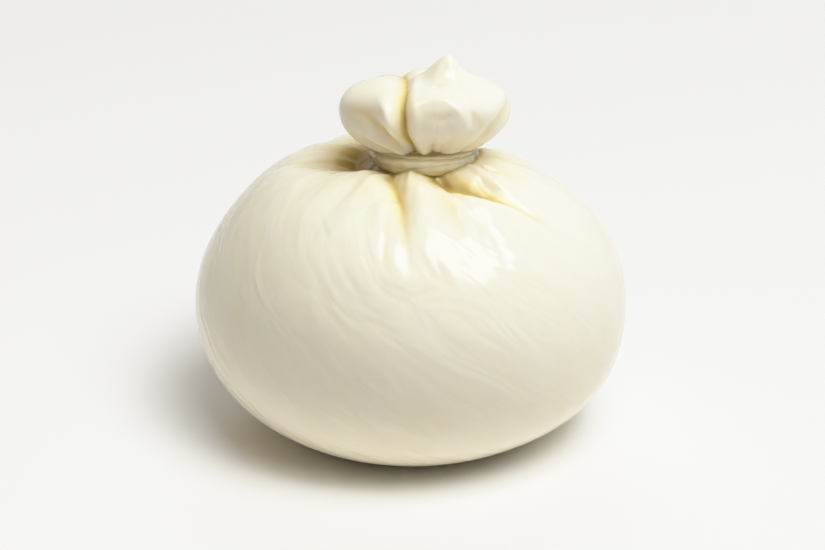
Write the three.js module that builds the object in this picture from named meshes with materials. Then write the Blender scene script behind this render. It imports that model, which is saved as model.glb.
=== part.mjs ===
// A whole burrata: a soft pouch of stretched curd, gathered at the top and closed with a band of
// its own skin, above which the gathered skin opens into a folded knob with one drawn-up peak.
// It is one solid. Millimetres, +Z up; the origin is the middle of the flat spot it rests on.
// Azimuths are in degrees from +X towards +Y, and elevations are in degrees above the horizontal.

import * as THREE from "three";
import { ParametricGeometry } from "three/addons/geometries/ParametricGeometry.js";
import { mergeVertices } from "three/addons/utils/BufferGeometryUtils.js";

// ---- driving dimensions ----

const COLUMNS = 96; // facets round the pouch
const BODY_ROWS = 27;
const BAND_ROWS = 7;
const KNOB_ROWS = 27;
const ROWS = BODY_ROWS + BAND_ROWS + KNOB_ROWS + 1; // one more closes the base

const BODY_RADIUS = 42.6; // at its widest
const WIDEST_Z = 27.9;
const CROWN_RISE = 32.0; // from the widest level to the top of the upper half's ellipse
const SAG_DROP = 29.9; // from the widest level to the lower half's bottom, cut off at the floor
const SAG_POWER = 2.12; // above 2 the lower half is fuller than an ellipse
const ROW_CROWDING = 1.35; // above 1 the body's rows crowd towards the neck

const LEAN = 1.5; // how much fuller the body is low down on its +X side
const LEAN_AZIMUTH = 6;
const LEAN_ZONE = [28, 10]; // Z where the lean starts, and below which it is full
// Waves round the body: number, height, phase, and Z over which they turn by a radian.
const SWELLS = [[2, 0.35, 0.4, 30], [3, 0.25, -1.0, 18]];
const SWELL_FULL_Z = 12; // from here down to the floor, lean and waves fade out

const SHOULDER = 0.35; // how much the crown's shoulder stands out all round
const SHOULDER_TILT = 0.8; // how much more it does so on its high side, and less on its low one
const SHOULDER_AZIMUTH = 178; // of its high side
const SHOULDER_OUTSIDE = [40, 27]; // distances from the axis over which it rises
const SHOULDER_INSIDE = [10, 17]; // and falls off again

const NECK_X = 2.7; // the neck stands a little to one side
const NECK_PULL = [28, 11]; // distances over which the crown moves over to the neck's axis
const NECK_RADIUS = 9.1;
const BAND_LOW_Z = 57.0;
const BAND_TOP_Z = 61.7;
const BAND_RISE = 1.9; // how far the band stands out from the neck
const BAND_SHARE = 0.9; // share of that height that the band takes up, under a bare neck
const BAND_FLATNESS = 0.45; // below 1 its face is flatter and its edges are rounder
const BAND_TILT = 0.4; // how much higher one side stands than the middle
const BAND_TILT_PHASE = 1.6;
const BAND_PLEATS = 23;
const BAND_PLEAT_HEIGHT = 0.12;
const BAND_PLEAT_PHASE = 1;
const BAND_GROOVE_WIDTH = 0.08;
const BAND_GROOVE_SHARPNESS = 1.5;
const NECK_TUCK = 0.3; // how far the body's last ring lies inside the band
// Grooves between the band's strands: share of the height, how much of it they wind up and down,
// phase, and depth.
const BAND_GROOVES = [[0.64, 0.1, 2.4, 0.8], [0.36, 0.12, 0.4, 0.35]];

// Folds of the body, each a path of [azimuth, distance from the neck's axis, depth, width].
// A negative depth stands out instead, as a ridge, lip or roll.
const BODY_FOLDS = {
  creaseInFront: [
    [-130, 10, 1.0, 1.2], [-121, 12.6, 2.3, 1.2], [-113, 14.5, 2.7, 1.1], [-106, 16.7, 2.6, 1.0],
    [-100, 19.2, 2.3, 1.0], [-96, 21.8, 2.0, 1.0], [-94, 24.7, 1.5, 1.0], [-92, 28, 0.9, 1.0],
    [-90, 35, 0, 1.0],
  ],
  creaseOnRight: [
    [-86, 9.5, 0.8, 1.4], [-79, 11.1, 1.9, 1.6], [-72, 12.9, 2.5, 1.8], [-65, 14.9, 2.6, 1.8],
    [-58, 16.9, 2.5, 1.7], [-51, 19.2, 2.1, 1.4], [-45, 21.6, 1.6, 1.1], [-39, 24.6, 0.9, 0.7],
    [-35, 28.6, 0.5, 0.6], [-32, 33, 0.1, 0.6],
  ],
  lipOfRightCrease: [
    [-76, 14.8, -0.2, 1.5], [-62, 19.4, -0.5, 1.6], [-51, 22.6, -0.4, 1.5], [-43, 25.8, -0.1, 1.5],
  ],
  valleyBetweenThem: [
    [-82, 13, 0.4, 1.6], [-76, 18.4, 0.7, 1.8], [-72, 21.8, 0.7, 1.8], [-70, 25, 0.5, 1.6],
    [-69, 29, 0.1, 1.5],
  ],
  hollowOnLeft: [
    [-136, 10.5, 1.2, 1.6], [-150, 12, 2.8, 2.2], [-166, 13.4, 4.0, 2.9], [179, 14, 4.2, 3.0],
    [166, 14, 3.2, 2.8], [154, 13.5, 1.6, 2.2], [144, 13, 0.6, 1.6],
  ],
  foldOutOfHollow: [
    [-172, 16.5, 0.8, 1.4], [-177, 19.5, 0.8, 1.2], [176, 23, 0.5, 0.9], [167, 28, 0.1, 0.8],
  ],
  rollUnderHollow: [
    [-127, 13.8, -0.2, 1.4], [-138, 15.6, -0.5, 1.5], [-146, 18.2, -0.3, 1.5], [-150, 21.5, 0, 1.5],
  ],
  foldBeyondNeck: [
    [-34, 11, 0.8, 1.4], [-26, 15.4, 0.8, 1.4], [-20, 18.8, 0.6, 1.4], [-14, 24, 0.1, 1.4],
  ],
  left1: [
    [-146, 17, 0.3, 1.0], [-146, 20.4, 0.35, 1.0], [-146, 23.8, 0.3, 1.0], [-148, 28, 0.2, 1.0],
    [-150, 33, 0, 1.0],
  ],
  left2: [
    [-136, 16.5, 0.2, 1.0], [-134, 20.2, 0.3, 1.0], [-132, 24, 0.25, 1.0], [-130, 29, 0, 1.0],
  ],
  besideFrontCrease: [
    [-102, 16.5, 0.6, 0.7], [-104, 18, 0.7, 0.7], [-108, 19.3, 0.6, 0.7], [-111, 21, 0.4, 0.7],
    [-112, 25, 0.1, 0.7],
  ],
  right1: [[-8, 10.8, 0.8, 1.2], [4, 17, 0.8, 1.2], [11, 24, 0.5, 1.2], [14, 32, 0, 1.2]],
  back1: [[28, 10.8, 1.5, 1.3], [36, 17, 1.6, 1.3], [41, 24, 0.9, 1.3], [42, 30, 0, 1.3]],
  back2: [[62, 10.8, 1.0, 1.2], [56, 17, 1.2, 1.2], [51, 25, 0.7, 1.2], [50, 33, 0, 1.2]],
  back3: [[92, 10.8, 1.6, 1.4], [103, 17, 2.0, 1.4], [110, 24, 1.1, 1.4], [112, 32, 0, 1.4]],
  back4: [[128, 10.8, 0.8, 1.2], [134, 17, 0.9, 1.2], [138, 29, 0, 1.2]],
  back5: [[152, 10.8, 1.2, 1.3], [143, 17, 1.4, 1.3], [137, 24, 0.8, 1.3], [136, 31, 0, 1.3]],
};
const PLEAT_HEIGHT = 0.38; // of the fine pleats between the folds
const PLEAT_TURN = 14; // degrees that they turn on their way down
const PLEAT_REACH = [10, 34]; // distances from the neck's axis where they begin and end
const PLEAT_START = [-2, 4]; // from where they begin, the stretch over which they rise
const PLEAT_FADE = 1.5; // power with which they fade on their way down
const PLEATS = [[17, 0.5, 1.3], [29, 0.35, 4.1], [41, 0.25, 0.6]]; // number round, share, phase

const KNOB_Z = 66.2; // the knob's middle, on the neck's axis
const KNOB_LOW = -34; // elevation of its lowest ring, seen from that middle
const KNOB_ROOT = 8; // degrees over which the knob opens out of the neck

// Main form of the knob: elevation, radius to the sides, radius to front and back.
const KNOB_FORM = [
  [-34, 11.5, 10.2], [-24, 12.4, 10.5], [-12, 14.7, 10.9], [-3, 16.1, 11.6], [4, 16.9, 12.3],
  [11, 17.1, 12.9], [19, 16.1, 12.9], [27, 14.0, 12.4], [37, 11.7, 11.2], [52, 9.4, 9.1],
  [70, 7.8, 7.7], [90, 7.4, 7.4],
];
const KNOB_SOFTNESS = 7; // degrees over which the corners of that form are rounded

const PEAK = {
  azimuth: 0,
  elevation: 69,
  height: 5.2,
  width: 14, // degrees
  blunt: 3, // degrees over which its tip is rounded
  towardsFront: 0.8, // below 1 it slopes more gently on that side
  towardsRight: 0.9,
  sharpness: 1.15, // power of its bell
  rise: [-5, 40], // elevations over which it grows out of the knob
};

// Folds of the knob, each a path of [azimuth, elevation, depth, width in degrees].
const KNOB_FOLDS = {
  cleft: [
    [-101, -34, 1.4, 3.0], [-106, -14, 2.2, 3.2], [-109, -5, 2.6, 3.2], [-110, 14, 2.6, 3.0],
    [-112, 22, 2.4, 3.0], [-116, 33, 2.2, 3.2], [-126, 46, 2.0, 3.6], [-166, 60, 1.8, 5],
    [150, 56, 1.8, 6], [128, 42, 1.8, 6], [114, 25, 1.6, 6], [106, 0, 1.2, 6], [102, -34, 0.8, 5],
  ],
  ridgeBesideCleft: [
    [-170, 33, -0.1, 7], [-138, 28, -0.5, 6], [-124, 20, -0.8, 5], [-118, 10, -1.0, 4],
    [-115, 0, -0.9, 3.5], [-110, -12, -0.3, 3],
  ],
  hollowUnderLeftLobe: [
    [-168, 8, 0.2, 6], [-154, 11, 0.7, 6], [-143, 12, 1.0, 6], [-134, 9, 1.2, 5], [-128, 3, 1.3, 4],
    [-124, -3, 1.4, 3.5], [-119, -10, 1.3, 3.2], [-113, -20, 0.7, 3],
  ],
  strandUnderHollow: [
    [-150, 0, -0.1, 3], [-140, -3, -0.6, 3], [-131, -9, -0.8, 3], [-120, -18, -0.7, 3],
    [-110, -29, -0.4, 3],
  ],
  strandOnLeft: [
    [-172, 0, -0.1, 4], [-160, -7, -0.6, 4], [-148, -18, -0.6, 4], [-138, -32, -0.2, 4],
  ],
  shortCrease: [[-80, -34, 1.0, 2.4], [-80, -16, 1.1, 2.2], [-79, -2, 0.1, 2]],
  shortCreaseBeside: [[-73, -34, 0.7, 2.4], [-71, -16, 0.8, 2.2], [-66, -5, 0.1, 2]],
  foldOnRight: [
    [4, 16, 0.1, 3], [-10, 11, 0.6, 3], [-22, 7, 0.9, 3], [-31, 2, 0.9, 3], [-38, -9, 0.6, 3],
    [-44, -26, 0.3, 3],
  ],
  browOfPad: [
    [-104, 16, -0.2, 4], [-97, 27, -0.6, 5], [-84, 34, -0.8, 6], [-71, 32, -0.8, 6],
    [-62, 22, -0.7, 5], [-57, 12, -0.3, 5], [-54, 2, -0.1, 4],
  ],
  dentUnderBrow: [[-94, 8, 0.3, 6], [-84, 17, 0.5, 7], [-73, 15, 0.5, 7], [-68, 6, 0.2, 6]],
  dentOnRight: [[-48, 13, 0.4, 4], [-44, 5, 0.4, 4]],
  grooveBehindPeak: [[120, 70, 0.6, 6], [62, 60, 1.2, 7], [34, 46, 0.9, 7], [22, 26, 0.3, 7]],
  back1: [[44, 44, 0.3, 6], [48, 22, 1.6, 6], [52, 0, 1.6, 5], [54, -34, 0.9, 4]],
  back2: [[84, 40, 0.2, 5], [80, 18, 1.0, 5], [77, -4, 1.0, 5], [76, -34, 0.6, 4]],
  back3: [[158, 38, 0.3, 6], [150, 20, 1.5, 6], [145, 0, 1.5, 5], [142, -34, 0.8, 4]],
  back4: [[176, 24, 0.1, 5], [172, 8, 0.8, 5], [168, -10, 0.9, 5], [166, -34, 0.5, 4]],
};
const NARROWEST_FOLD = 4; // degrees; the knob's facets can't follow a narrower one

// Across its width, a fold is sharp in the middle, with soft shoulders and a low lip on each side.
const FOLD = {
  sharpness: 1.3, // power of the bell in its middle
  shoulderShare: 0.4, // of its depth
  shoulderWidth: 2.8, // this and the next two lengths are in widths of the fold
  lipPlace: 3.4,
  lipWidth: 1.6,
  lipHeight: 0.16, // as a share of its depth
};

// ---- small helpers ----

const { clamp, degToRad, lerp, radToDeg } = THREE.MathUtils;

// Rises smoothly from 0 to 1 as x goes from one bound to the other, whichever is larger.
function ease(from, to, x) {
  const t = clamp((x - from) / (to - from), 0, 1);
  return t * t * (3 - 2 * t);
}

// 1 at x = 0, fading to 0 on both sides.
const bell = (x, power) => Math.exp(-(Math.abs(x) ** power));

function direction(azimuth, elevation) {
  const a = degToRad(azimuth);
  const e = degToRad(elevation);
  return new THREE.Vector3(Math.cos(e) * Math.cos(a), Math.cos(e) * Math.sin(a), Math.sin(e));
}

// A point at a radius from the axis that stands at x.
function around(x, radius, azimuth, z) {
  const a = degToRad(azimuth);
  return new THREE.Vector3(x + radius * Math.cos(a), radius * Math.sin(a), z);
}

// ---- folds ----

// The paths of some folds, with onto() giving the place that a path's first two numbers mean.
function pathsOf(folds, onto, narrowest) {
  return Object.values(folds).map((path) =>
    path.map(([a, b, depth, width]) => ({
      at: onto(a, b),
      depth,
      width: Math.max(width, narrowest),
    })),
  );
}

// The share of a fold's depth that is left at x widths from its middle.
function foldShape(x) {
  const middle = (1 - FOLD.shoulderShare) * bell(x, FOLD.sharpness);
  const shoulders = FOLD.shoulderShare * bell(x / FOLD.shoulderWidth, 2);
  return middle + shoulders - FOLD.lipHeight * bell((x - FOLD.lipPlace) / FOLD.lipWidth, 2);
}

// A fold's depth at a spot: that of the nearest point of its path, fading to the sides.
function foldDepth(path, spot) {
  const best = { distance: Infinity, depth: 0, width: 1 };
  for (let i = 1; i < path.length; i++) {
    const stretch = new THREE.Line3(path[i - 1].at, path[i].at);
    const share = stretch.closestPointToPointParameter(spot, true);
    const distance = stretch.at(share, new THREE.Vector3()).distanceTo(spot);
    if (distance < best.distance) {
      best.distance = distance;
      best.depth = lerp(path[i - 1].depth, path[i].depth, share);
      best.width = lerp(path[i - 1].width, path[i].width, share);
    }
  }
  return best.depth * foldShape(best.distance / best.width);
}

const foldsDepth = (paths, spot) => paths.reduce((sum, path) => sum + foldDepth(path, spot), 0);

// ---- body ----

// Its profile without folds. The angle runs from below the floor through 0 at the widest level.
function profile(angle) {
  const rise = Math.sin(angle);
  const power = rise > 0 ? 1 : 2 / SAG_POWER;
  const height = rise > 0 ? CROWN_RISE : SAG_DROP;
  const radius = BODY_RADIUS * Math.abs(Math.cos(angle)) ** power;
  return new THREE.Vector2(radius, WIDEST_Z + height * Math.sign(rise) * Math.abs(rise) ** power);
}

const FLOOR_ANGLE = -Math.asin((WIDEST_Z / SAG_DROP) ** (SAG_POWER / 2));
const NECK_ANGLE = Math.acos((NECK_RADIUS - NECK_TUCK) / BODY_RADIUS);

const BODY_PATHS = pathsOf(BODY_FOLDS, (azimuth, distance) => around(0, distance, azimuth, 0), 0);

// The folds and pleats that the gathering draws into the crown, at a distance from the neck.
function gatherRelief(azimuth, distance) {
  let relief = -foldsDepth(BODY_PATHS, around(0, distance, azimuth, 0));
  const [begin, end] = PLEAT_REACH;
  const t = clamp((distance - begin) / (end - begin), 0, 1);
  const a = degToRad(azimuth - PLEAT_TURN * t);
  const height = PLEAT_HEIGHT * (1 - t) ** PLEAT_FADE * ease(...PLEAT_START, distance - begin);
  for (const [count, share, phase] of PLEATS) {
    relief += height * share * Math.sin(count * a + phase);
  }
  return relief;
}

// The uneven fullness of the soft body.
function swell(azimuth, z) {
  const a = degToRad(azimuth);
  const towards = 0.5 + 0.5 * Math.cos(a - degToRad(LEAN_AZIMUTH));
  let height = LEAN * towards ** 2 * ease(...LEAN_ZONE, z);
  for (const [count, amount, phase, rise] of SWELLS) {
    height += amount * Math.sin(count * a + phase + z / rise);
  }
  return height * ease(0, SWELL_FULL_Z, z);
}

// t runs from 0 where the body meets the floor to 1 at the neck.
function bodyPoint(azimuth, t) {
  const angle = lerp(FLOOR_ANGLE, NECK_ANGLE, 1 - (1 - t) ** ROW_CROWDING);
  const { x: radius, y: z } = profile(angle);
  const step = 1e-3;
  const tangent = profile(angle + step).sub(profile(angle - step)).normalize();
  let relief = swell(azimuth, z);
  let shift = 0;
  if (angle > 0) {
    const shoulder = SHOULDER + SHOULDER_TILT * Math.cos(degToRad(azimuth - SHOULDER_AZIMUTH));
    relief += shoulder * ease(...SHOULDER_OUTSIDE, radius) * ease(...SHOULDER_INSIDE, radius);
    relief += gatherRelief(azimuth, radius);
    shift = NECK_X * ease(...NECK_PULL, radius);
  }
  const high = Math.max(z - tangent.x * relief, 0);
  return around(shift, radius + tangent.y * relief, azimuth, high);
}

// ---- band ----

// t runs from 0 at the band's foot to 1 at the bare neck above it.
function bandPoint(azimuth, t) {
  const a = degToRad(azimuth);
  const bulge = Math.sin(Math.PI * clamp(t / BAND_SHARE, 0, 1)) ** BAND_FLATNESS;
  const groove = BAND_GROOVES.map(([height, winding, phase, depth]) => {
    const off = t - height - winding * Math.cos(a + phase);
    return depth * bell(off / BAND_GROOVE_WIDTH, BAND_GROOVE_SHARPNESS);
  });
  const middle = Math.sin(Math.PI * t);
  const radius = NECK_RADIUS + (BAND_RISE - Math.max(...groove)) * bulge;
  return around(
    NECK_X,
    radius + BAND_PLEAT_HEIGHT * Math.sin(BAND_PLEATS * a + BAND_PLEAT_PHASE) * middle,
    azimuth,
    lerp(BAND_LOW_Z, BAND_TOP_Z, t) + BAND_TILT * Math.cos(a + BAND_TILT_PHASE) * middle,
  );
}

// ---- knob ----

// A place on a ball on which one degree is one long.
const onKnob = (azimuth, elevation) => direction(azimuth, elevation).multiplyScalar(radToDeg(1));
const KNOB_PATHS = pathsOf(KNOB_FOLDS, onKnob, NARROWEST_FOLD);

// Two of the form's radii at an elevation: to the sides, and to front and back.
function formRadii(elevation) {
  const level = clamp(elevation, KNOB_LOW, 90);
  const above = KNOB_FORM.findIndex(([step], i) => i > 0 && step >= level);
  const [low, high] = [KNOB_FORM[above - 1], KNOB_FORM[above]];
  const share = (level - low[0]) / (high[0] - low[0]);
  return [lerp(low[1], high[1], share), lerp(low[2], high[2], share)];
}

function knobForm(azimuth, elevation) {
  const side = Math.cos(degToRad(azimuth)) ** 2;
  const steps = [-1, -0.75, -0.5, -0.25, 0, 0.25, 0.5, 0.75, 1];
  const radii = steps.map((step) => {
    const [sides, fronts] = formRadii(elevation + step * KNOB_SOFTNESS);
    return lerp(fronts, sides, side);
  });
  return radii.reduce((sum, radius) => sum + radius, 0) / steps.length;
}

function peakHeight(toward, elevation) {
  const off = toward.clone().sub(direction(PEAK.azimuth, PEAK.elevation));
  const across = off.x * (off.x > 0 ? PEAK.towardsRight : 1);
  const forward = off.y * (off.y < 0 ? PEAK.towardsFront : 1);
  const angle = radToDeg(Math.hypot(across, forward));
  const slope = (Math.hypot(angle, PEAK.blunt) - PEAK.blunt) / PEAK.width;
  return PEAK.height * bell(slope, PEAK.sharpness) * ease(...PEAK.rise, elevation);
}

function knobPoint(azimuth, elevation) {
  const toward = direction(azimuth, elevation);
  const folds = foldsDepth(KNOB_PATHS, onKnob(azimuth, elevation));
  const radius = knobForm(azimuth, elevation) + peakHeight(toward, elevation) - folds;
  const point = toward.multiplyScalar(radius).add(new THREE.Vector3(NECK_X, 0, KNOB_Z));
  return bandPoint(azimuth, 1).lerp(point, ease(KNOB_LOW, KNOB_LOW + KNOB_ROOT, elevation));
}

// ---- the whole skin ----

const WELD_DISTANCE = 1e-4;

// Rows run from the middle of the base up the body, band and knob to the top.
function skinPoint(azimuth, row) {
  if (row === 0) return new THREE.Vector3(0, 0, 0);
  let above = row - 1;
  if (above < BODY_ROWS) return bodyPoint(azimuth, above / (BODY_ROWS - 1));
  above -= BODY_ROWS;
  if (above < BAND_ROWS) return bandPoint(azimuth, above / BAND_ROWS);
  above -= BAND_ROWS;
  if (above < KNOB_ROWS) return knobPoint(azimuth, lerp(KNOB_LOW, 90, above / KNOB_ROWS));
  return knobPoint(0, 90);
}

// Closes the seam and the two poles, where the grid's vertices coincide.
function weld(geometry) {
  geometry.deleteAttribute("normal");
  geometry.deleteAttribute("uv");
  const merged = mergeVertices(geometry, WELD_DISTANCE);
  const corners = merged.index.array;
  const kept = [];
  for (let i = 0; i < corners.length; i += 3) {
    const [a, b, c] = corners.slice(i, i + 3);
    if (a !== b && b !== c && c !== a) kept.push(a, b, c);
  }
  merged.setIndex(kept);
  merged.computeVertexNormals();
  return merged;
}

function pouch() {
  const skin = new ParametricGeometry((u, v, target) => {
    const row = Math.min(Math.round(v * (ROWS + 1)), ROWS + 1);
    target.copy(skinPoint(360 * (u % 1) - 180, row));
  }, COLUMNS, ROWS + 1);
  const curd = new THREE.MeshStandardMaterial({ color: 0xf6f1e2, roughness: 0.35, metalness: 0 });
  const mesh = new THREE.Mesh(weld(skin), curd);
  mesh.name = "pouch";
  return mesh;
}

const burrata = new THREE.Group();
burrata.add(pouch());

export default burrata;
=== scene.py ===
"""A whole burrata on a plain pale floor, in soft studio light.

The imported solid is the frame. The one piece made here, the curd, has the solid's own form, worked
out from the same named sizes with a finer net, and adds what is too fine for the solid: small
creases, the grain of the pulled curd, and the material. Lengths are in millimetres up to the point
where they enter Blender, which is in metres. Azimuths are degrees from +X towards +Y, elevations
degrees above the horizontal.
"""

import math

import bpy
import numpy as np
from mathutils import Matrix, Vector


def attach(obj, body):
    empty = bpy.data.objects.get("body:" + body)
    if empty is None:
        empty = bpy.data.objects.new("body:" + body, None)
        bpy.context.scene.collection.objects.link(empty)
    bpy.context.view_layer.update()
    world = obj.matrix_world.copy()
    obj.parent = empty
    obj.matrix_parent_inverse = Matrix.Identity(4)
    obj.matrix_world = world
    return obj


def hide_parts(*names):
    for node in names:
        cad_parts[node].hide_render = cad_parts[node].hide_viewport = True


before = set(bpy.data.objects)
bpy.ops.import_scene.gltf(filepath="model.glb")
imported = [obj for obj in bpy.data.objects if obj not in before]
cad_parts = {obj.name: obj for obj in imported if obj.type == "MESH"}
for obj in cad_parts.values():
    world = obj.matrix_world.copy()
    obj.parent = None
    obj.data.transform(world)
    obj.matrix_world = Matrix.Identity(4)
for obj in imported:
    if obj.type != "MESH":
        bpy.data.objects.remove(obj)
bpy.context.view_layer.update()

MM = 0.001
PHOTO_WIDTH = 825  # pixels

# ---- sizes of the burrata ----

BODY_RADIUS = 42.6  # at its widest
WIDEST_Z = 27.9
CROWN_RISE = 32.0  # from the widest level to the top of the upper half's ellipse
SAG_DROP = 29.9  # from the widest level to the lower half's bottom, cut off at the floor
SAG_POWER = 2.12  # above 2 the lower half is fuller than an ellipse
ROW_CROWDING = 1.35  # above 1 the body's rows crowd towards the neck

LEAN = 1.5  # how much fuller the body is low down on its +X side
LEAN_AZIMUTH = 6
LEAN_ZONE = (28, 10)  # Z where the lean starts, and below which it is full
SWELLS = ((2, 0.35, 0.4, 30), (3, 0.25, -1.0, 18))  # waves round, height, phase, Z per radian
SWELL_FULL_Z = 12  # from here down to the floor, lean and swells fade out

SHOULDER = 0.35  # how much the crown's shoulder stands out all round
SHOULDER_TILT = 0.8  # how much more it does so on its high side, and less on its low one
SHOULDER_AZIMUTH = 178  # of its high side
SHOULDER_OUTSIDE = (40, 27)  # distances from the axis over which it rises
SHOULDER_INSIDE = (10, 17)  # and falls off again

NECK_X = 2.7  # the neck stands a little to one side
NECK_PULL = (28, 11)  # distances over which the crown moves over to the neck's axis
NECK_RADIUS = 9.1
NECK_TUCK = 0.3  # how far the body's last ring lies inside the band
BAND_LOW_Z = 57.0
BAND_TOP_Z = 61.7
BAND_RISE = 1.9  # how far the band stands out from the neck
BAND_SHARE = 0.9  # share of that height that the band takes up, under a bare neck
BAND_FLATNESS = 0.45  # below 1 its face is flatter and its edges are rounder
BAND_TILT = 0.4  # how much higher one side stands than the middle
BAND_TILT_PHASE = 1.6
BAND_PLEATS = 23
BAND_PLEAT_HEIGHT = 0.12
BAND_PLEAT_PHASE = 1
BAND_GROOVE_WIDTH = 0.08
BAND_GROOVE_SHARPNESS = 1.5
# Grooves between the band's strands: share of the height, how much of it they wind up and down,
# phase, and depth.
BAND_GROOVES = ((0.64, 0.10, 2.4, 0.8), (0.36, 0.12, 0.4, 0.35))

# Folds of the body, as paths of (azimuth, distance from the neck's axis, depth, width); a ridge has
# a negative depth. The solid has them too, apart from those called fine, which are too fine for it.
BODY_FOLDS = {
    "crease in front": (
        (-130, 10, 1.0, 1.2), (-121, 12.6, 2.3, 1.2), (-113, 14.5, 2.7, 1.1), (-106, 16.7, 2.6, 1.0),
        (-100, 19.2, 2.3, 1.0), (-96, 21.8, 2.0, 1.0), (-94, 24.7, 1.5, 1.0), (-92, 28, 0.9, 1.0),
        (-90, 35, 0, 1.0),
    ),
    "crease on right": (
        (-86, 9.5, 0.8, 1.4), (-79, 11.1, 1.9, 1.6), (-72, 12.9, 2.5, 1.8), (-65, 14.9, 2.6, 1.8),
        (-58, 16.9, 2.5, 1.7), (-51, 19.2, 2.1, 1.4), (-45, 21.6, 1.6, 1.1), (-39, 24.6, 0.9, 0.7),
        (-35, 28.6, 0.5, 0.6), (-32, 33, 0.1, 0.6),
    ),
    "lip of right crease": (
        (-76, 14.8, -0.2, 1.5), (-62, 19.4, -0.5, 1.6), (-51, 22.6, -0.4, 1.5), (-43, 25.8, -0.1, 1.5),
    ),
    "valley between them": (
        (-82, 13, 0.4, 1.6), (-76, 18.4, 0.7, 1.8), (-72, 21.8, 0.7, 1.8), (-70, 25, 0.5, 1.6),
        (-69, 29, 0.1, 1.5),
    ),
    "hollow on left": (
        (-136, 10.5, 1.2, 1.6), (-150, 12, 2.8, 2.2), (-166, 13.4, 4.0, 2.9), (179, 14, 4.2, 3.0),
        (166, 14, 3.2, 2.8), (154, 13.5, 1.6, 2.2), (144, 13, 0.6, 1.6),
    ),
    "fold out of hollow": (
        (-172, 16.5, 0.8, 1.4), (-177, 19.5, 0.8, 1.2), (176, 23, 0.5, 0.9), (167, 28, 0.1, 0.8),
    ),
    "roll under hollow": (
        (-127, 13.8, -0.2, 1.4), (-138, 15.6, -0.5, 1.5), (-146, 18.2, -0.3, 1.5),
        (-150, 21.5, 0, 1.5),
    ),
    "fold beyond neck": (
        (-34, 11, 0.8, 1.4), (-26, 15.4, 0.8, 1.4), (-20, 18.8, 0.6, 1.4), (-14, 24, 0.1, 1.4),
    ),
    "left 1": (
        (-146, 17, 0.3, 1.0), (-146, 20.4, 0.35, 1.0), (-146, 23.8, 0.3, 1.0), (-148, 28, 0.2, 1.0),
        (-150, 33, 0, 1.0),
    ),
    "left 2": (
        (-136, 16.5, 0.2, 1.0), (-134, 20.2, 0.3, 1.0), (-132, 24, 0.25, 1.0), (-130, 29, 0, 1.0),
    ),
    "beside front crease": (
        (-102, 16.5, 0.6, 0.7), (-104, 18, 0.7, 0.7), (-108, 19.3, 0.6, 0.7), (-111, 21, 0.4, 0.7),
        (-112, 25, 0.1, 0.7),
    ),
    "right 1": ((-8, 10.8, 0.8, 1.2), (4, 17, 0.8, 1.2), (11, 24, 0.5, 1.2), (14, 32, 0, 1.2)),
    "back 1": ((28, 10.8, 1.5, 1.3), (36, 17, 1.6, 1.3), (41, 24, 0.9, 1.3), (42, 30, 0, 1.3)),
    "back 2": ((62, 10.8, 1.0, 1.2), (56, 17, 1.2, 1.2), (51, 25, 0.7, 1.2), (50, 33, 0, 1.2)),
    "back 3": ((92, 10.8, 1.6, 1.4), (103, 17, 2.0, 1.4), (110, 24, 1.1, 1.4), (112, 32, 0, 1.4)),
    "back 4": ((128, 10.8, 0.8, 1.2), (134, 17, 0.9, 1.2), (138, 29, 0, 1.2)),
    "back 5": ((152, 10.8, 1.2, 1.3), (143, 17, 1.4, 1.3), (137, 24, 0.8, 1.3), (136, 31, 0, 1.3)),
    "fine 1": ((-45, 17.2, 0.6, 0.8), (-43, 19.4, 0.7, 0.8), (-38, 21.1, 0.5, 0.8), (-33, 25, 0.1, 0.8)),
    "fine 2": ((-66, 19, 0.1, 0.6), (-63, 22.4, 0.3, 0.6), (-61, 26.2, 0.3, 0.6), (-64, 31, 0, 0.6)),
    "fine 3": ((-58, 22, 0.1, 0.6), (-58, 25.6, 0.4, 0.6), (-58, 31.3, 0.3, 0.6), (-58, 36, 0, 0.6)),
    "fine 4": ((-63, 24, 0.1, 0.5), (-62, 28, 0.3, 0.5), (-62, 34, 0, 0.5)),
    "fine 5": ((-48, 25, 0.1, 0.6), (-48, 30.6, 0.35, 0.6), (-49, 36, 0, 0.6)),
    "fine 6": ((-29, 13.4, 0.25, 0.35), (-26, 15.6, 0.25, 0.35)),
    "fine 7": ((-152, 18, 0.1, 0.9), (-154, 22, 0.15, 0.9), (-156, 28, 0, 0.9)),
    "fine 8": (
        (-128, 16, 0.1, 0.9), (-128, 20.2, 0.2, 0.9), (-126, 26, 0.2, 0.9), (-126, 34, 0, 0.9),
    ),
    "fine 9": (
        (-102, 21, 0.3, 0.7), (-100, 25.4, 0.5, 0.7), (-99, 29, 0.45, 0.7), (-99, 33, 0.3, 0.7),
        (-99, 37, 0, 0.7),
    ),
}
PLEAT_HEIGHT = 0.38  # of the fine pleats between the folds
PLEATS = ((17, 0.5, 1.3), (29, 0.35, 4.1), (41, 0.25, 0.6))  # number round, share, phase
PLEAT_TURN = 14  # degrees that they turn on their way down
PLEAT_REACH = (10, 34)  # distances from the neck's axis where they begin and end
PLEAT_RISE = (8, 14)  # and those over which they rise
PLEAT_FADE = 1.5  # power with which they fade on their way down

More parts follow.
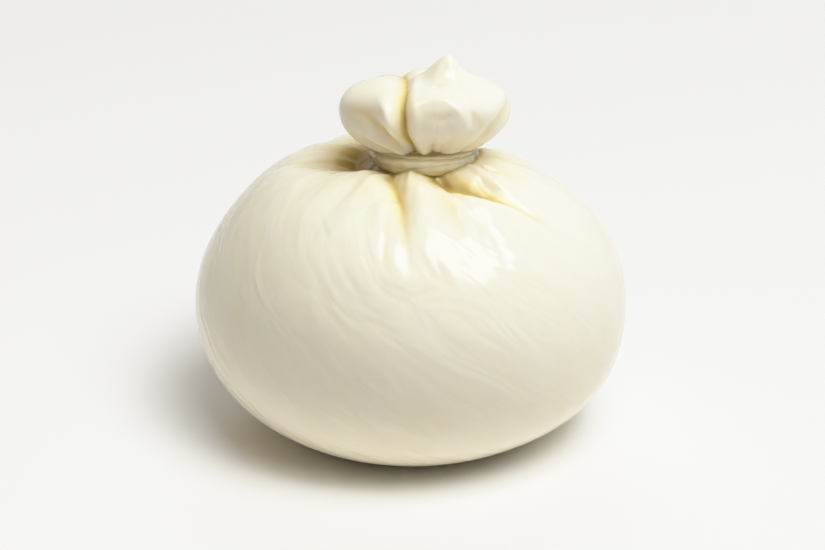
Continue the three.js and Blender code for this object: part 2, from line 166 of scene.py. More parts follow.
# The grain runs down the skin from the neck; "down" is a length of that way.
DOWN_POINTS = 400  # of the profile, by which that length is measured
GRAIN_TURN = 0.13  # degrees that the grain has turned at one millimetre down
GRAIN_BEND = 1.5  # power of the way down with which it turns
GRAIN_WAVES = ((24, 13, 0.12), (52, 8, 0.055), (90, 5, 0.03))  # cells round, length, height
GRAIN_BENDS = ((9, 15, 5, 3), (34, 6, 1.6, 5))  # cells round, length, degrees, seed
GRAIN_BEGIN = (4, 16)  # down, the stretch over which it rises
GRAIN_END = (88, 70)  # and falls off again
WRINKLES = (84, 5.5, 0.06)  # cells round, length, height
WRINKLES_BEGIN = (10, 20)  # down, too
WRINKLES_END = (48, 34)
CALM_SIDE = (-12, 45)  # middle and width of the side with the faintest grain, in degrees
CALM_SHARE = 0.35  # of the grain, at the middle of that side
CALM_FOOT = (54, 80)  # down, the stretch over which it gets fainter
CALM_FOOT_SHARE = 0.4  # of the grain, at the foot
NOISE_ROWS = 64
NOISE_START = NOISE_ROWS / 3  # row of the noise that the way down starts at

# The material's grain, in its own millimetres.
GRAIN_BAR = 30  # radius of the round bar on which the body's grain runs straight along
KNOB_GRAIN = 0.5  # its millimetres to one of the band's or the knob's
SMOOTH_SHARE = 0.25  # how bumpy the skin is on the band, on the knob and around the neck
SMOOTH_NEAR_NECK = (9, 30)  # distances from the axis over which it gets as bumpy as the rest

KNOB_Z = 66.2  # the knob's middle, on the neck's axis
KNOB_LOW = -34  # elevation of its lowest ring, seen from that middle
KNOB_ROOT = 8  # degrees over which the knob opens out of the neck

# Main form of the knob: elevation, radius to the sides, radius to front and back.
KNOB_FORM = (
    (-34, 11.5, 10.2), (-24, 12.4, 10.5), (-12, 14.7, 10.9), (-3, 16.1, 11.6), (4, 16.9, 12.3),
    (11, 17.1, 12.9), (19, 16.1, 12.9), (27, 14.0, 12.4), (37, 11.7, 11.2), (52, 9.4, 9.1),
    (70, 7.8, 7.7), (90, 7.4, 7.4),
)
KNOB_SOFTNESS = 7  # degrees over which the corners of that form are rounded
KNOB_SOFT_STEPS = 9

PEAK_AZIMUTH = 0
PEAK_ELEVATION = 69
PEAK_HEIGHT = 5.2
PEAK_WIDTH = 14  # degrees
PEAK_BLUNT = 3  # degrees over which its tip is rounded
PEAK_TOWARDS_FRONT = 0.8  # below 1 it slopes more gently on that side
PEAK_TOWARDS_RIGHT = 0.9
PEAK_SHARPNESS = 1.15  # power of its bell
PEAK_RISE = (-5, 40)  # elevations over which it grows out of the knob

# Folds of the knob, as paths of (azimuth, elevation, depth, width in degrees). The last five are
# too fine for the solid, and it has the narrow ones at 4 degrees wide.
KNOB_FOLDS = {
    "cleft": (
        (-101, -34, 1.4, 3.0), (-106, -14, 2.2, 3.2), (-109, -5, 2.6, 3.2), (-110, 14, 2.6, 3.0),
        (-112, 22, 2.4, 3.0), (-116, 33, 2.2, 3.2), (-126, 46, 2.0, 3.6), (-166, 60, 1.8, 5),
        (150, 56, 1.8, 6), (128, 42, 1.8, 6), (114, 25, 1.6, 6), (106, 0, 1.2, 6), (102, -34, 0.8, 5),
    ),
    "ridge beside cleft": (
        (-170, 33, -0.1, 7), (-138, 28, -0.5, 6), (-124, 20, -0.8, 5), (-118, 10, -1.0, 4),
        (-115, 0, -0.9, 3.5), (-110, -12, -0.3, 3),
    ),
    "hollow under left lobe": (
        (-168, 8, 0.2, 6), (-154, 11, 0.7, 6), (-143, 12, 1.0, 6), (-134, 9, 1.2, 5),
        (-128, 3, 1.3, 4), (-124, -3, 1.4, 3.5), (-119, -10, 1.3, 3.2), (-113, -20, 0.7, 3),
    ),
    "strand under hollow": (
        (-150, 0, -0.1, 3), (-140, -3, -0.6, 3), (-131, -9, -0.8, 3), (-120, -18, -0.7, 3),
        (-110, -29, -0.4, 3),
    ),
    "strand on left": (
        (-172, 0, -0.1, 4), (-160, -7, -0.6, 4), (-148, -18, -0.6, 4), (-138, -32, -0.2, 4),
    ),
    "short crease": ((-80, -34, 1.0, 2.4), (-80, -16, 1.1, 2.2), (-79, -2, 0.1, 2)),
    "short crease beside": ((-73, -34, 0.7, 2.4), (-71, -16, 0.8, 2.2), (-66, -5, 0.1, 2)),
    "fold on right": (
        (4, 16, 0.1, 3), (-10, 11, 0.6, 3), (-22, 7, 0.9, 3), (-31, 2, 0.9, 3), (-38, -9, 0.6, 3),
        (-44, -26, 0.3, 3),
    ),
    "brow of pad": (
        (-104, 16, -0.2, 4), (-97, 27, -0.6, 5), (-84, 34, -0.8, 6), (-71, 32, -0.8, 6),
        (-62, 22, -0.7, 5), (-57, 12, -0.3, 5), (-54, 2, -0.1, 4),
    ),
    "dent under brow": ((-94, 8, 0.3, 6), (-84, 17, 0.5, 7), (-73, 15, 0.5, 7), (-68, 6, 0.2, 6)),
    "dent on right": ((-48, 13, 0.4, 4), (-44, 5, 0.4, 4)),
    "groove behind peak": ((120, 70, 0.6, 6), (62, 60, 1.2, 7), (34, 46, 0.9, 7), (22, 26, 0.3, 7)),
    "back 1": ((44, 44, 0.3, 6), (48, 22, 1.6, 6), (52, 0, 1.6, 5), (54, -34, 0.9, 4)),
    "back 2": ((84, 40, 0.2, 5), (80, 18, 1.0, 5), (77, -4, 1.0, 5), (76, -34, 0.6, 4)),
    "back 3": ((158, 38, 0.3, 6), (150, 20, 1.5, 6), (145, 0, 1.5, 5), (142, -34, 0.8, 4)),
    "back 4": ((176, 24, 0.1, 5), (172, 8, 0.8, 5), (168, -10, 0.9, 5), (166, -34, 0.5, 4)),
    "pinch in dent": ((-74, 14, 0.2, 1.8), (-69, 16, 0.3, 2.0), (-65, 15, 0.2, 1.8)),
    "nick on right": ((-49, 14, 0.25, 1.6), (-50, 8, 0.25, 1.6)),
    "crease down peak": ((-30, 64, 0.1, 3), (-37, 48, 0.2, 2.5), (-40, 42, 0.05, 2.5)),
    "crease across peak": ((-80, 49, 0.05, 2), (-66, 51, 0.2, 2), (-56, 50, 0.05, 2)),
    "crease below that": ((-66, 50, 0.2, 2), (-69, 38, 0.05, 2)),
}

# Across its width, a fold is sharp in the middle, with soft shoulders and a low lip on each side;
# lengths are in widths of the fold, and heights are shares of its depth.
FOLD_SHARPNESS = 1.3
FOLD_SHOULDER_SHARE = 0.4
FOLD_SHOULDER_WIDTH = 2.8
FOLD_LIP_PLACE = 3.4
FOLD_LIP_WIDTH = 1.6
FOLD_LIP_HEIGHT = 0.16

# Painted shade: how much warm shade is painted into the skin's colour, in its folds, hollows and
# joints, under the knob and towards the foot. 0 is none, and 1 is as much as in a deep fold.
DEEP_FOLD = 2.2  # its depth
PAINTED_FOLD_SHADES = {"crease in front": 0.78, "crease on right": 1.3, "hollow on left": 1.2}  # others 1
TINT_SPREAD = 1.4  # how much wider than its fold the colour is
TINT_SHARPNESS = 1.5
# Painted shade near the neck and in the seam under the band.
NEAR_NECK = (30, 12)  # distances from the neck's axis
NEAR_NECK_SHADE = 0.24
NECK_SEAM = (12.8, 10.8)  # distances from the neck's axis
NECK_SEAM_SHADE = 0.8
# Painted shade that darkens the body towards the foot.
FOOT = (44, 8)  # Z
FOOT_SHADE = 0.17
# Painted shade on the band, more of it at its edges and in its grooves.
BAND_SHADE = 0.3
BAND_EDGE_SHADE = 0.6
BAND_EDGE_FADE = 1.5  # power with which that tint fades towards the band's face
BAND_GROOVE_SHADE = 0.7
# Painted shade under the knob.
UNDER_KNOB = (12, -25)  # elevations
UNDER_KNOB_SHADE = 0.28

# ---- the net that the skin is made of ----

COLUMNS = 400
FLOOR_ROWS = 3
BODY_ROWS = 126
BAND_ROWS = 30
KNOB_ROWS = 84


def ease(start, end, x):
    """Rises smoothly from 0 to 1 as x goes from start to end, whichever is larger."""
    t = np.clip((x - start) / (end - start), 0, 1)
    return t * t * (3 - 2 * t)


def bell(x, power):
    """1 at x = 0, fading to 0 on both sides."""
    return np.exp(-(np.abs(x) ** power))


def direction(azimuth, elevation):
    """A unit vector that points that way."""
    a, e = np.radians(azimuth), np.radians(elevation)
    return np.stack([np.cos(e) * np.cos(a), np.cos(e) * np.sin(a), np.sin(e) + 0 * a], -1)


def around(x, radius, azimuth, z):
    """A point at a radius from the axis that stands at x."""
    a = np.radians(azimuth)
    return np.stack([x + radius * np.cos(a), radius * np.sin(a), z + 0 * a], -1)


def on_plan(azimuth, distance):
    """A point at a distance from the axis, seen from above."""
    a = np.radians(azimuth)
    return np.stack([distance * np.cos(a), distance * np.sin(a)], -1)


def on_knob(azimuth, elevation):
    """Place on a ball on which one degree is one long."""
    return np.degrees(direction(azimuth, elevation))


def fold_at(path, place, spots):
    """Of spots: how far they are from a fold's path, and its depth and width where it is nearest."""
    nearest = np.full(spots.shape[:-1], np.inf)
    depth, width = np.zeros_like(nearest), np.ones_like(nearest)
    for (a0, b0, d0, w0), (a1, b1, d1, w1) in zip(path, path[1:]):
        begin = place(np.float64(a0), np.float64(b0))
        stretch = place(np.float64(a1), np.float64(b1)) - begin
        share = np.clip((spots - begin) @ stretch / (stretch @ stretch), 0, 1)
        off = np.linalg.norm(spots - begin - share[..., None] * stretch, axis=-1)
        closer = off < nearest
        nearest = np.where(closer, off, nearest)
        depth = np.where(closer, d0 + (d1 - d0) * share, depth)
        width = np.where(closer, w0 + (w1 - w0) * share, width)
    return nearest, depth, width


def fold_shape(x):
    """The share of a fold's depth that is left at x widths from its middle."""
    middle = (1 - FOLD_SHOULDER_SHARE) * bell(x, FOLD_SHARPNESS)
    shoulders = FOLD_SHOULDER_SHARE * bell(x / FOLD_SHOULDER_WIDTH, 2)
    return middle + shoulders - FOLD_LIP_HEIGHT * bell((x - FOLD_LIP_PLACE) / FOLD_LIP_WIDTH, 2)


def painted_fold_shade(off, depth, width):
    """How much shade is painted into the skin's colour at a distance off a fold's path."""
    return np.clip(depth / DEEP_FOLD, 0, 1) * bell(off / width / TINT_SPREAD, TINT_SHARPNESS)


def grain_place(azimuth, along):
    """Place on a plain round bar, on which the grain runs straight along."""
    return around(0, GRAIN_BAR, azimuth, along)


# ---- body ----


def profile(angle):
    """Radius and Z of the plain body, whose angle runs from below the floor through 0 at the widest
    level."""
    rise = np.sin(angle)
    power = np.where(rise > 0, 1, 2 / SAG_POWER)
    height = np.where(rise > 0, CROWN_RISE, SAG_DROP)
    radius = BODY_RADIUS * np.abs(np.cos(angle)) ** power
    return radius, WIDEST_Z + height * np.sign(rise) * np.abs(rise) ** power


FLOOR_ANGLE = -math.asin((WIDEST_Z / SAG_DROP) ** (SAG_POWER / 2))
NECK_ANGLE = math.acos((NECK_RADIUS - NECK_TUCK) / BODY_RADIUS)


def gather_relief(azimuth, distance):
    """Height of the gathers at a distance from the neck, and the shade painted into the skin's colour
    there.
    """
    # Painted shade near the neck and in the seam under the band.
    painted_shade = NEAR_NECK_SHADE * ease(*NEAR_NECK, distance)
    painted_shade = np.maximum(painted_shade, NECK_SEAM_SHADE * ease(*NECK_SEAM, distance))
    relief = 0
    spot = on_plan(azimuth, distance)
    for name, path in BODY_FOLDS.items():
        off, depth, width = fold_at(path, on_plan, spot)
        relief = relief - depth * fold_shape(off / width)
        # Painted shade in the fold.
        painted_shade = np.maximum(painted_shade, PAINTED_FOLD_SHADES.get(name, 1) * painted_fold_shade(off, depth, width))
    begin, end = PLEAT_REACH
    t = np.clip((distance - begin) / (end - begin), 0, 1)
    a = np.radians(azimuth - PLEAT_TURN * t)
    height = PLEAT_HEIGHT * (1 - t) ** PLEAT_FADE * ease(*PLEAT_RISE, distance)
    for count, share, phase in PLEATS:
        relief = relief + height * share * np.sin(count * a + phase)
    return relief, painted_shade


def noise(azimuth, down, count, length, seed):
    """Smooth random heights from -1 to 1, in cells of a length, of which a count go round."""
    values = np.random.default_rng(seed).uniform(-1, 1, (count, NOISE_ROWS))
    u, v = azimuth / 360 * count, down / length + NOISE_START
    i, j = np.floor(u).astype(int), np.floor(v).astype(int)
    s, t = ease(0, 1, u - i), ease(0, 1, v - j)
    i, j, i1, j1 = i % count, j % NOISE_ROWS, (i + 1) % count, (j + 1) % NOISE_ROWS
    near = values[i, j] * (1 - s) + values[i1, j] * s
    return near * (1 - t) + (values[i, j1] * (1 - s) + values[i1, j1] * s) * t


def grain_relief(azimuth, down):
    """Soft waves of the pulled curd, drawn out along its grain."""
    bends = (h * noise(azimuth, down, n, length, seed) for n, length, h, seed in GRAIN_BENDS)
    bent = azimuth + sum(bends)
    waves = sum(h * noise(bent, down, n, length, n) for n, length, h in GRAIN_WAVES)
    count, length, height = WRINKLES
    wrinkled = ease(*WRINKLES_BEGIN, down) * ease(*WRINKLES_END, down)
    waves = waves + height * wrinkled * noise(bent, down, count, length, count)
    return waves * ease(*GRAIN_BEGIN, down) * ease(*GRAIN_END, down)


def way_down(angle):
    """Length of the way down the skin from the neck, at an angle of the profile."""
    angles = np.linspace(FLOOR_ANGLE, NECK_ANGLE, DOWN_POINTS)
    radius, z = profile(angles)
    steps = np.hypot(np.diff(radius), np.diff(z))
    return np.interp(angle, angles, np.append(np.cumsum(steps[::-1])[::-1], 0))


def swell(azimuth, z):
    """The uneven fullness of the soft body."""
    a = np.radians(azimuth)
    towards = 0.5 + 0.5 * np.cos(a - math.radians(LEAN_AZIMUTH))
    height = LEAN * towards ** 2 * ease(*LEAN_ZONE, z)
    for count, amount, phase, rise in SWELLS:
        height = height + amount * np.sin(count * a + phase + z / rise)
    return height * ease(0, SWELL_FULL_Z, z)


def grain_share(azimuth, down):
    """How much of its grain the body has: less on the calm side, and towards the foot."""
    middle, width = CALM_SIDE
    from_middle = (azimuth - middle + 180) % 360 - 180
    share = 1 - (1 - CALM_SHARE) * bell(from_middle / width, 2)
    return share * (1 - (1 - CALM_FOOT_SHARE) * ease(*CALM_FOOT, down))


# Each skin function gives points, the shade painted into the skin's colour there, how bumpy the
# skin is there, and its place on the material's grain.


def body_skin(azimuth, t):
    """t runs from 0 where the body meets the floor to 1 at the neck."""
    angle = FLOOR_ANGLE + (NECK_ANGLE - FLOOR_ANGLE) * (1 - (1 - t) ** ROW_CROWDING)
    radius, z = profile(angle)
    step = 1e-3
    (r0, z0), (r1, z1) = profile(angle - step), profile(angle + step)
    length = np.hypot(r1 - r0, z1 - z0)
    out, up = (z1 - z0) / length, (r0 - r1) / length
    above = angle > 0
    shoulder = SHOULDER + SHOULDER_TILT * np.cos(np.radians(azimuth - SHOULDER_AZIMUTH))
    shoulder = shoulder * ease(*SHOULDER_OUTSIDE, radius) * ease(*SHOULDER_INSIDE, radius)
    gathers, painted_shade = gather_relief(azimuth, radius)
    down = way_down(angle)
    grain = azimuth - GRAIN_TURN * down ** GRAIN_BEND
    grained = grain_share(azimuth, down)
    relief = swell(azimuth, z) + grained * grain_relief(grain, down)
    relief = relief + above * (gathers + shoulder)
    shift = above * NECK_X * ease(*NECK_PULL, radius)
    points = around(shift, radius + out * relief, azimuth, np.maximum(z + up * relief, 0))
    bumpy = SMOOTH_SHARE + (1 - SMOOTH_SHARE) * np.maximum(ease(*SMOOTH_NEAR_NECK, radius), 1 - above)
    # Painted shade in the crown's folds, and painted shade that darkens the body towards the foot.
    painted_shade = painted_shade * above + FOOT_SHADE * ease(*FOOT, z)
    return points, painted_shade, bumpy * grained, grain_place(grain, down)


# ---- band ----


def band_skin(azimuth, t):
    """t runs from 0 at the band's foot to 1 at the bare neck above it."""
    a = np.radians(azimuth)
    bulge = np.sin(np.pi * np.clip(t / BAND_SHARE, 0, 1)) ** BAND_FLATNESS
    # Painted shade on the whole band, more of it towards its edges.
    groove, painted_shade = 0, BAND_SHADE + BAND_EDGE_SHADE * (1 - bulge) ** BAND_EDGE_FADE
    for height, winding, phase, depth in BAND_GROOVES:
        off = (t - height - winding * np.cos(a + phase)) / BAND_GROOVE_WIDTH
        groove = np.maximum(groove, depth * bell(off, BAND_GROOVE_SHARPNESS))
    middle = np.sin(np.pi * t)
    pleats = BAND_PLEAT_HEIGHT * np.sin(BAND_PLEATS * a + BAND_PLEAT_PHASE) * middle
    radius = NECK_RADIUS + (BAND_RISE - groove) * bulge + pleats
    tilt = BAND_TILT * np.cos(a + BAND_TILT_PHASE) * middle
    z = BAND_LOW_Z + (BAND_TOP_Z - BAND_LOW_Z) * t + tilt
    # Painted shade in the band's grooves.
    painted_shade = np.maximum(painted_shade, BAND_GROOVE_SHADE * groove)
    points = around(NECK_X, radius, azimuth, z)
    return points, painted_shade, np.full_like(radius, SMOOTH_SHARE), points * KNOB_GRAIN


# ---- knob ----


def knob_form(azimuth, elevation):
    """The knob's radius without folds and peak."""
    levels, sides, fronts = zip(*KNOB_FORM)
    side = np.cos(np.radians(azimuth)) ** 2
    steps = np.linspace(-KNOB_SOFTNESS, KNOB_SOFTNESS, KNOB_SOFT_STEPS)
    to_side = sum(np.interp(elevation + step, levels, sides) for step in steps) / len(steps)
    to_front = sum(np.interp(elevation + step, levels, fronts) for step in steps) / len(steps)
    return to_front * (1 - side) + to_side * side


def peak_height(toward, elevation):
    """How far the peak stands out of the knob's form."""
    off = toward - direction(np.float64(PEAK_AZIMUTH), PEAK_ELEVATION)
    across = off[..., 0] * np.where(off[..., 0] > 0, PEAK_TOWARDS_RIGHT, 1)
    forward = off[..., 1] * np.where(off[..., 1] < 0, PEAK_TOWARDS_FRONT, 1)
    slope = (np.hypot(np.degrees(np.hypot(across, forward)), PEAK_BLUNT) - PEAK_BLUNT) / PEAK_WIDTH
    return PEAK_HEIGHT * bell(slope, PEAK_SHARPNESS) * ease(*PEAK_RISE, elevation)


def knob_skin(azimuth, elevation):
    toward = direction(azimuth, elevation)
    radius = knob_form(azimuth, elevation) + peak_height(toward, elevation)
    # Painted shade under the knob.
    painted_shade = UNDER_KNOB_SHADE * ease(*UNDER_KNOB, elevation)
    spots = on_knob(azimuth, elevation)
    for path in KNOB_FOLDS.values():
        off, depth, width = fold_at(path, on_knob, spots)
        radius = radius - depth * fold_shape(off / width)
        # Painted shade in the knob's folds.
        painted_shade = np.maximum(painted_shade, painted_fold_shade(off, depth, width))
    share = ease(KNOB_LOW, KNOB_LOW + KNOB_ROOT, elevation)[..., None]
    points = np.array([NECK_X, 0, KNOB_Z]) + radius[..., None] * toward
    neck, neck_painted_shade, _, _ = band_skin(azimuth, np.ones_like(azimuth))
    # Painted shade of the neck, going over into the knob's root.
    painted_shade = np.maximum(painted_shade, neck_painted_shade * (1 - share[..., 0]))
    points = neck + (points - neck) * share
    return points, painted_shade, np.full_like(radius, SMOOTH_SHARE), points * KNOB_GRAIN


# ---- the piece ----


def rows_of(skin, values):
    """The net's rows at some values of t, or of the knob's elevation."""
    azimuth, value = np.meshgrid(np.arange(COLUMNS) * 360 / COLUMNS - 180, values)
    return skin(azimuth, value)


def skin_net():
    """Rows from the base up to the top of the knob, without the point at each end."""
    contact, _, bumpy, grain = rows_of(body_skin, [0.0])
    shares = (np.arange(1, FLOOR_ROWS + 1) / (FLOOR_ROWS + 1))[:, None, None]
    bumpy, grain = bumpy + 0 * shares[..., 0], grain + 0 * shares
    parts = [
        (contact * shares, np.zeros((FLOOR_ROWS, COLUMNS)), bumpy, grain),
        rows_of(body_skin, np.arange(BODY_ROWS) / (BODY_ROWS - 1)),
        rows_of(band_skin, np.arange(BAND_ROWS) / BAND_ROWS),
        rows_of(knob_skin, KNOB_LOW + (90 - KNOB_LOW) * np.arange(KNOB_ROWS) / KNOB_ROWS),
    ]
    return [np.concatenate(values) for values in zip(*parts)]


def net_faces(rows):
    """Quads between the rows, and fans at both ends, all facing out."""
    here = np.arange(COLUMNS)
    beside = (here + 1) % COLUMNS
    low = 1 + COLUMNS * np.arange(rows - 1)[:, None]
    quads = np.stack([low + here, low + beside, low + COLUMNS + beside, low + COLUMNS + here], -1)
    last, top = 1 + COLUMNS * (rows - 1), 1 + COLUMNS * rows
    base_fan = [(0, 1 + int(b), 1 + int(a)) for a, b in zip(here, beside)]
    top_fan = [(last + int(a), last + int(b), top) for a, b in zip(here, beside)]
    return quads.reshape(-1, 4).tolist() + base_fan + top_fan


def curd_piece():
    """The skin's mesh, with the attributes that its material reads."""
    points, painted_shade, bumpy, grain = skin_net()
    top, _, _, top_grain = knob_skin(np.zeros((1, 1)), np.full((1, 1), 90.0))
    vertices = np.concatenate([[[0, 0, 0]], points.reshape(-1, 3), top[0]]) * MM
    grain = np.concatenate([grain[0, :1], grain.reshape(-1, 3), top_grain[0]])
    mesh = bpy.data.meshes.new("curd_skin")
    mesh.from_pydata(vertices.tolist(), [], net_faces(len(points)))
    mesh.shade_smooth()
    # The crease attribute carries the painted shade into the material.
    for name, values in (("crease", painted_shade), ("bumpy", bumpy)):
        values = np.concatenate([values[0, :1], values.ravel(), values[-1, :1]])
        mesh.attributes.new(name, "FLOAT", "POINT").data.foreach_set("value", values)
    place = mesh.attributes.new("grain", "FLOAT_VECTOR", "POINT")
    place.data.foreach_set("vector", grain.ravel())
    piece = bpy.data.objects.new("curd_skin", mesh)
    bpy.context.scene.collection.objects.link(piece)
    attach(piece, "root")
    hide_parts("pouch")
    return piece


# ---- material ----


def add_node(tree, kind, inputs=(), **settings):
    node = tree.nodes.new(kind)
    for name, value in settings.items():
        setattr(node, name, value)
    for socket, value in dict(inputs).items():
        if isinstance(value, bpy.types.NodeSocket):
            tree.links.new(value, node.inputs[socket])
        else:
            node.inputs[socket].default_value = value
    return node


def mix_colour(tree, factor, first, second):
    node = tree.nodes.new("ShaderNodeMix")
    node.data_type = "RGBA"
    for socket, value in ((node.inputs[0], factor), (node.inputs[6], first), (node.inputs[7], second)):
        if isinstance(value, bpy.types.NodeSocket):
            tree.links.new(value, socket)
        else:
            socket.default_value = value
    return node.outputs[2]


IVORY = (0.895, 0.835, 0.70, 1)
PALE = (0.905, 0.85, 0.73, 1)
CREAM = (0.84, 0.765, 0.59, 1)
# The next two colours are painted warm shade, for folds, hollows and joints, under the knob and towards
# the foot.
SHADE_STRAW = (0.81, 0.645, 0.27, 1)
SHADE_UMBER = (0.52, 0.37, 0.11, 1)

# Sizes of the noises across the grain and along it, and heights of their bumps, in millimetres.
STREAK_SIZE = (2.2, 6.0)
STREAK_BUMP = 0.03
VEIL_SIZE = (7, 13)
VEIL_BUMP = 0.3

# Values between which a colour goes over into the next: by the noises, and by the painted shade.
VEIL_LIMITS = (0.35, 0.65)
STREAK_LIMITS = (0.52, 0.72)
STREAK_STRENGTH = 0.2
SHADE_STRAW_LIMITS = (0.05, 0.75)
SHADE_UMBER_LIMITS = (0.55, 1.15)


def grain_noise(tree, place, size):
    """Noise whose cells have a size across the grain and one along it."""
    across, along = size
    stretched = add_node(
        tree, "ShaderNodeVectorMath", {0: place, 1: (1 / across, 1 / across, 1 / along)},
        operation="MULTIPLY",
    )
    noise_node = add_node(
        tree, "ShaderNodeTexNoise",
        {"Vector": stretched.outputs[0], "Scale": 1.0, "Detail": 1.0, "Distortion": 1.6},
    )
    return noise_node.outputs["Fac"]


def share_between(tree, value, limits):
    """0 where a value is at the first of two limits, 1 where it is at the second."""
    inputs = {"Value": value, "From Min": limits[0], "From Max": limits[1]}
    return add_node(tree, "ShaderNodeMapRange", inputs).outputs[0]


def curd_colour(tree, crease, streak, veil):
    """Ivory in two tones with faint streaks, going over into painted shade of straw and umber."""
    colour = mix_colour(tree, share_between(tree, veil, VEIL_LIMITS), IVORY, PALE)
    faint = add_node(
        tree, "ShaderNodeMath", {0: share_between(tree, streak, STREAK_LIMITS), 1: STREAK_STRENGTH},
        operation="MULTIPLY",
    )
    colour = mix_colour(tree, faint.outputs[0], colour, CREAM)
    # Painted shade, straw and then umber, by the crease attribute.
    colour = mix_colour(tree, share_between(tree, crease, SHADE_STRAW_LIMITS), colour, SHADE_STRAW)
    return mix_colour(tree, share_between(tree, crease, SHADE_UMBER_LIMITS), colour, SHADE_UMBER)


def curd_bump(tree, bumpy, layers):
    """Bumps on top of each other: each a noise, and its height in millimetres."""
    normal = None
    for noise_value, height in layers:
        raised = add_node(tree, "ShaderNodeMath", {0: noise_value, 1: bumpy}, operation="MULTIPLY")
        inputs = {"Height": raised.outputs[0], "Distance": height * MM, "Strength": 1.0}
        if normal:
            inputs["Normal"] = normal
        normal = add_node(tree, "ShaderNodeBump", inputs).outputs[0]
    return normal


def curd_material():
    material = bpy.data.materials.new("curd")
    material.use_nodes = True
    tree = material.node_tree
    shader = tree.nodes["Principled BSDF"]
    # The crease attribute holds the painted shade.
    crease = add_node(tree, "ShaderNodeAttribute", attribute_name="crease").outputs["Fac"]
    bumpy = add_node(tree, "ShaderNodeAttribute", attribute_name="bumpy").outputs["Fac"]
    place = add_node(tree, "ShaderNodeAttribute", attribute_name="grain").outputs["Vector"]
    streak = grain_noise(tree, place, STREAK_SIZE)
    veil = grain_noise(tree, place, VEIL_SIZE)
    tree.links.new(curd_colour(tree, crease, streak, veil), shader.inputs["Base Color"])
    normal = curd_bump(tree, bumpy, ((streak, STREAK_BUMP), (veil, VEIL_BUMP)))
    tree.links.new(normal, shader.inputs["Normal"])
    shader.inputs["Roughness"].default_value = 0.14
    shader.inputs["IOR"].default_value = 1.38
    shader.inputs["Subsurface Weight"].default_value = 0.5
    shader.inputs["Subsurface Radius"].default_value = (1.0, 0.85, 0.6)
    shader.inputs["Subsurface Scale"].default_value = 1.5 * MM
    return material


# ---- studio ----

CAMERA_LENS = 105
CAMERA_ELEVATION = 22  # degrees
MM_PER_PIXEL = 0.2  # at the middle of the body
LOOK_AT = (0.42, 0, 28)
LOOK_ABOVE = 4.57  # the frame's middle lies this far above LOOK_AT, along the picture's upright


def studio_camera():
    data = bpy.data.cameras.new("camera")
    data.lens = CAMERA_LENS
    data.sensor_width = 36
    data.clip_start, data.clip_end = 0.01, 20
    camera = bpy.data.objects.new("camera", data)
    tilt = math.radians(CAMERA_ELEVATION)
    back = Vector((0, -math.cos(tilt), math.sin(tilt)))
    upright = Vector((0, math.sin(tilt), math.cos(tilt)))
    distance = CAMERA_LENS / data.sensor_width * PHOTO_WIDTH * MM_PER_PIXEL
    camera.location = (Vector(LOOK_AT) + upright * LOOK_ABOVE + back * distance) * MM
    camera.rotation_mode = "QUATERNION"
    camera.rotation_quaternion = (-back).to_track_quat("-Z", "Y")
    bpy.context.scene.collection.objects.link(camera)
    bpy.context.scene.camera = camera


def lamp(name, toward, distance, size, power, colour, lit):
    """A lamp that faces the burrata from a direction, and lights one object alone."""
    data = bpy.data.lights.new(name, "AREA")
    data.shape = "RECTANGLE"
    data.size, data.size_y = size
    data.energy, data.color = power, colour
    lamp_object = bpy.data.objects.new(name, data)
    way = Vector(toward).normalized()
    lamp_object.location = Vector((0, 0, WIDEST_Z * MM)) + way * distance
    lamp_object.rotation_mode = "QUATERNION"
    lamp_object.rotation_quaternion = way.to_track_quat("Z", "Y")
    bpy.context.scene.collection.objects.link(lamp_object)
    receivers = bpy.data.collections.new(name + "_lights")
    receivers.objects.link(lit)
    lamp_object.light_linking.receiver_collection = receivers
    return lamp_object


def floor():
    half = 3  # metres
    mesh = bpy.data.meshes.new("floor")
    corners = [(-half, -half, 0), (half, -half, 0), (half, half, 0), (-half, half, 0)]
    mesh.from_pydata(corners, [], [(0, 1, 2, 3)])
    material = bpy.data.materials.new("pale_floor")
    material.use_nodes = True
    shader = material.node_tree.nodes["Principled BSDF"]
    shader.inputs["Base Color"].default_value = (0.83, 0.83, 0.82, 1)
    shader.inputs["Roughness"].default_value = 0.7
    mesh.materials.append(material)
    plane = bpy.data.objects.new("floor", mesh)
    bpy.context.scene.collection.objects.link(plane)
    return plane


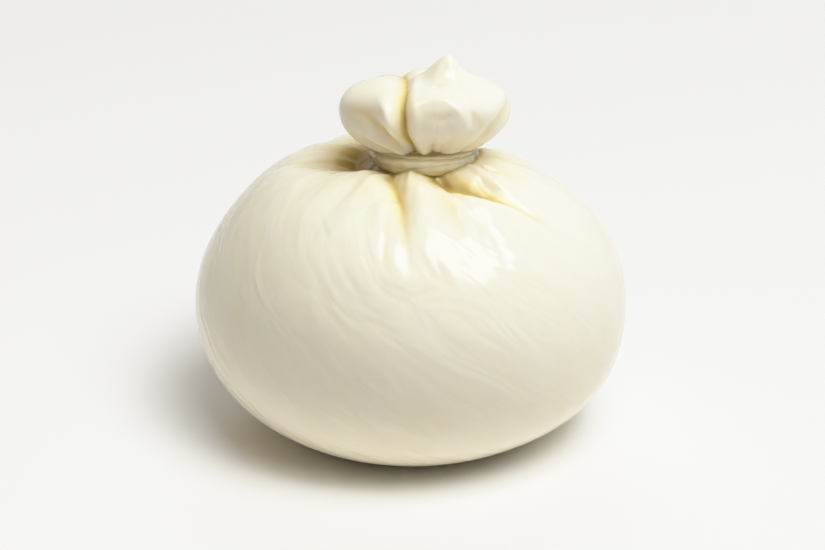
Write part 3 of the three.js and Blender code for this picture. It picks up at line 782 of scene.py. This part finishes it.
# The brightest parts of the picture are held back, as in a photo: light in the scene, up to the
# brightest, and the light that the picture shows for it.
BRIGHTEST = 1.5
TONES = ((0.45, 0.45), (0.75, 0.74), (0.9, 0.855), (1.05, 0.925), (1.2, 0.965))


def soft_highlights():
    view = bpy.context.scene.view_settings
    view.view_transform = "Standard"
    view.use_curve_mapping = True
    mapping = view.curve_mapping
    mapping.white_level = (BRIGHTEST, BRIGHTEST, BRIGHTEST)
    for scene_light, picture_light in TONES:
        mapping.curves[3].points.new(scene_light / BRIGHTEST, picture_light)
    mapping.update()


def pale_room():
    """It shows in reflections, and gives the floor and the burrata no light of its own."""
    world = bpy.data.worlds.new("studio")
    world.use_nodes = True
    background = world.node_tree.nodes["Background"]
    background.inputs["Color"].default_value = (1, 0.97, 0.9, 1)
    background.inputs["Strength"].default_value = 0.9
    world.cycles_visibility.diffuse = False
    bpy.context.scene.world = world


def studio(curd):
    """The key isn't reflected in the burrata, and the window is nothing but a reflection in it."""
    ground = floor()
    key = lamp("key", (0.40, -0.08, 0.90), 0.9, (0.6, 0.8), 10.0, (0.92, 0.955, 0.95), curd)
    key.visible_glossy = False
    window = lamp("window", (0.36, -0.18, 0.91), 0.9, (0.40, 0.52), 6.2, (1, 1, 0.9), curd)
    window.visible_diffuse = False
    lamp("left_fill", (-0.30, -0.12, 0.95), 0.9, (0.6, 0.6), 2.35, (1, 0.95, 0.76), curd)
    lamp("floor_key", (0.30, -0.55, 0.78), 1.5, (0.35, 0.35), 3.9, (1, 1, 0.93), ground)
    lamp("floor_panel", (0.275, -0.476, 0.835), 2.2, (1.4, 1.4), 51, (0.9, 0.945, 1), ground)
    lamp("floor_sky", (0, 0, 1), 1.6, (6, 6), 39, (1, 0.77, 0.45), ground)
    lamp("floor_back", (0, 0.7, 0.7), 2.4, (1.5, 1.5), 12.3, (0.67, 0.81, 1), ground)
    pale_room()


studio_camera()
curd = curd_piece()
curd.data.materials.append(curd_material())
studio(curd)
soft_highlights()
